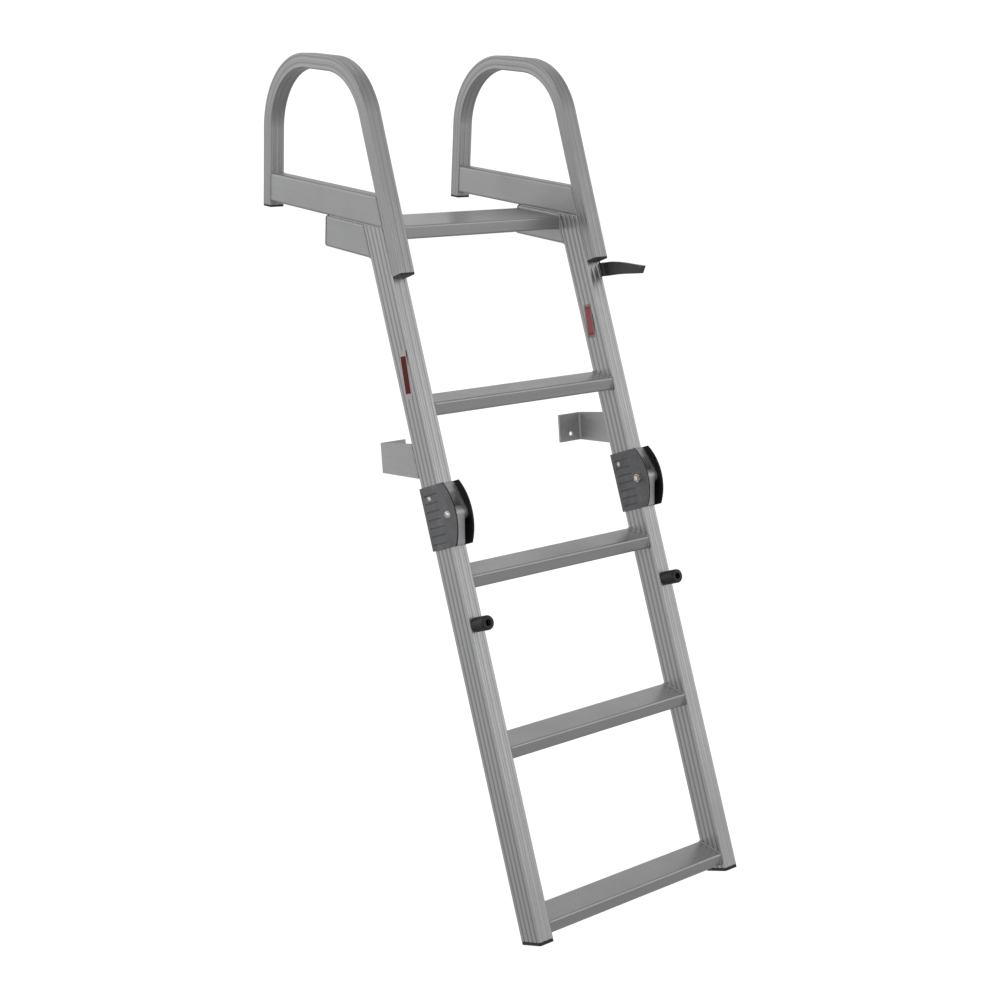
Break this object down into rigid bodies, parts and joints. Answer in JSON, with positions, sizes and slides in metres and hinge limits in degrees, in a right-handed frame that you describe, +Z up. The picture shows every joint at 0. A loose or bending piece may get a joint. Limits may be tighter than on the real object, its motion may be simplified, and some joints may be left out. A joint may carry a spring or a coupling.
{
  "type": "boat boarding ladder",
  "caption": "Folding aluminium boat boarding ladder with handle hoops, deck brackets, grooved rails, level steps, a folding lower section and a hook that holds it folded.",
  "frame": {"origin": "the deck mount, midway between the back ends of the two deck brackets", "axes": "+X across the ladder to the climber's right, +Y back towards the boat, +Z up"},
  "size_m": [0.4685, 0.8782, 1.3624],
  "materials": {
    "rail_aluminium": "satin mill finish with lengthwise grooves",
    "hoop_aluminium": "satin mill finish with lengthwise grooves, bent",
    "smooth_aluminium": "satin mill finish, smooth",
    "step_aluminium": "satin mill finish, smooth",
    "plate_aluminium": "bead-blasted plate",
    "stainless": "bright stainless",
    "black_moulding": "moulded, slightly textured",
    "hinge_moulding": "moulded, slightly textured",
    "catch_moulding": "moulded, smooth",
    "bush_plastic": "natural acetal",
    "bumper_rubber": "smooth moulded rubber",
    "label_film": "printed vinyl film"
  },
  "bodies": {
    "upper_section": {"left_upper_rail": "rail_aluminium", "left_handle_hoop": "hoop_aluminium", "left_hoop_front_cap": "black_moulding", "left_hoop_rear_cap": "black_moulding", "left_deck_arm": "smooth_aluminium", "left_deck_bracket": "smooth_aluminium", "left_bracket_cap": "black_moulding", "left_standoff_bracket": "plate_aluminium", "left_upper_knuckle": "plate_aluminium", "left_outer_hinge_plate": "hinge_moulding", "left_inner_hinge_plate": "hinge_moulding", "left_pivot_bolt": "stainless", "left_pivot_nut": "stainless", "left_plate_bolt": "stainless", "left_plate_nut": "stainless", "right_upper_rail": "rail_aluminium", "right_handle_hoop": "hoop_aluminium", "right_hoop_front_cap": "black_moulding", "right_hoop_rear_cap": "black_moulding", "right_deck_arm": "smooth_aluminium", "right_deck_bracket": "smooth_aluminium", "right_bracket_cap": "black_moulding", "right_standoff_bracket": "plate_aluminium", "right_upper_knuckle": "plate_aluminium", "right_outer_hinge_plate": "hinge_moulding", "right_inner_hinge_plate": "hinge_moulding", "right_pivot_bolt": "stainless", "right_pivot_nut": "stainless", "right_plate_bolt": "stainless", "right_plate_nut": "stainless", "top_step": "step_aluminium", "second_step": "step_aluminium", "catch_base": "catch_moulding", "catch_screws": "stainless", "left_label": "label_film", "right_label": "label_film"},
    "lower_section": {"left_lower_rail": "rail_aluminium", "left_foot_cap": "black_moulding", "left_lower_knuckle": "plate_aluminium", "left_pivot_bush": "bush_plastic", "left_bumper": "bumper_rubber", "left_bumper_screw": "stainless", "right_lower_rail": "rail_aluminium", "right_foot_cap": "black_moulding", "right_lower_knuckle": "plate_aluminium", "right_pivot_bush": "bush_plastic", "right_bumper": "bumper_rubber", "right_bumper_screw": "stainless", "third_step": "step_aluminium", "fourth_step": "step_aluminium", "bottom_step": "step_aluminium"},
    "fold_catch": {"fold_catch": "catch_moulding"}
  },
  "joints": [
    {"name": "fold", "type": "hinge", "parent": "upper_section", "child": "lower_section", "pos_m": [0, -0.38353, -0.40362], "axis": [-1, 0, 0], "range_deg": [0, 177.3]},
    {"name": "catch_flex", "type": "hinge", "parent": "upper_section", "child": "fold_catch", "pos_m": [0.2266, -0.21925, -0.07194], "axis": [0, 0.4195, 0.9078], "range_deg": [-3, 15], "stiffness_Nm_per_rad": 0.5}
  ]
}
